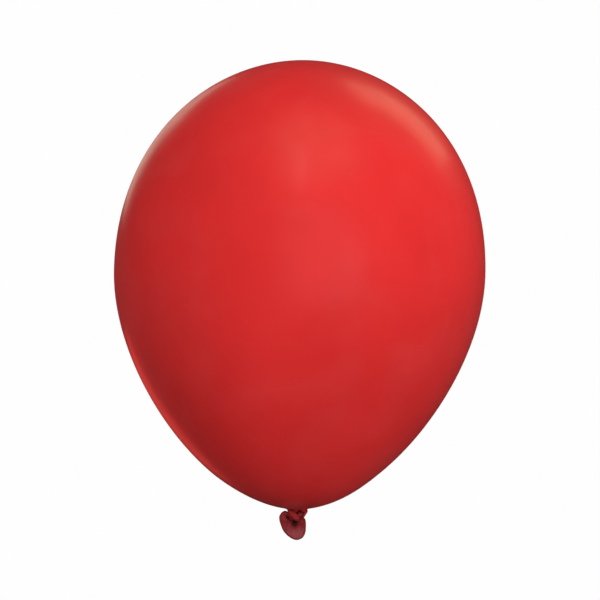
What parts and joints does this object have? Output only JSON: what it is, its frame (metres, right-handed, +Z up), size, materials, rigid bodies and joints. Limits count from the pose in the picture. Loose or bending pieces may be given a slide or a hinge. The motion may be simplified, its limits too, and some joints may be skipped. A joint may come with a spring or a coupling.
{
  "type": "latex balloon",
  "caption": "Round-crowned latex party balloon, blown up and tied, tapering to a knotted neck with a flared tail and a rolled lip.",
  "frame": {"origin": "middle of the neck, level with the underside of the blown-up part, where a ribbon or a balloon stick's cup takes hold", "axes": "+Z up the axis of the balloon to its crown, -Y to the front, the way the tail's mouth faces, +X to the right seen from the front"},
  "size_m": [0.28, 0.28, 0.3622],
  "materials": {
    "envelope_latex": "stretched latex film, soft gloss",
    "knot_latex": "gathered latex, satin",
    "tail_latex": "unstretched latex, powdery satin",
    "lip_latex": "rolled latex, satin"
  },
  "bodies": {
    "balloon": {"envelope": "envelope_latex"},
    "knot": {"neck_gather": "knot_latex", "knot_loop": "knot_latex", "knot_tuck": "knot_latex"},
    "throat": {"tail_throat": "tail_latex"},
    "tail": {"tail_sleeve": "tail_latex", "lip_bead": "lip_latex"}
  },
  "joints": [
    {"name": "neck_twist", "type": "hinge", "parent": "balloon", "child": "knot", "pos_m": [0, 0, 0], "axis": [0, 0, 1], "range_deg": [-90, 90], "stiffness_Nm_per_rad": 0.001},
    {"name": "tail_sway", "type": "hinge", "parent": "knot", "child": "throat", "pos_m": [-0.0012, 0.0008, -0.0083], "axis": [0, 1, 0], "range_deg": [-12, 4], "stiffness_Nm_per_rad": 0.0005},
    {"name": "tail_fold", "type": "hinge", "parent": "throat", "child": "tail", "pos_m": [-0.0012, 0.0008, -0.0083], "axis": [1, 0, 0], "range_deg": [-5, 90], "stiffness_Nm_per_rad": 0.0005}
  ]
}
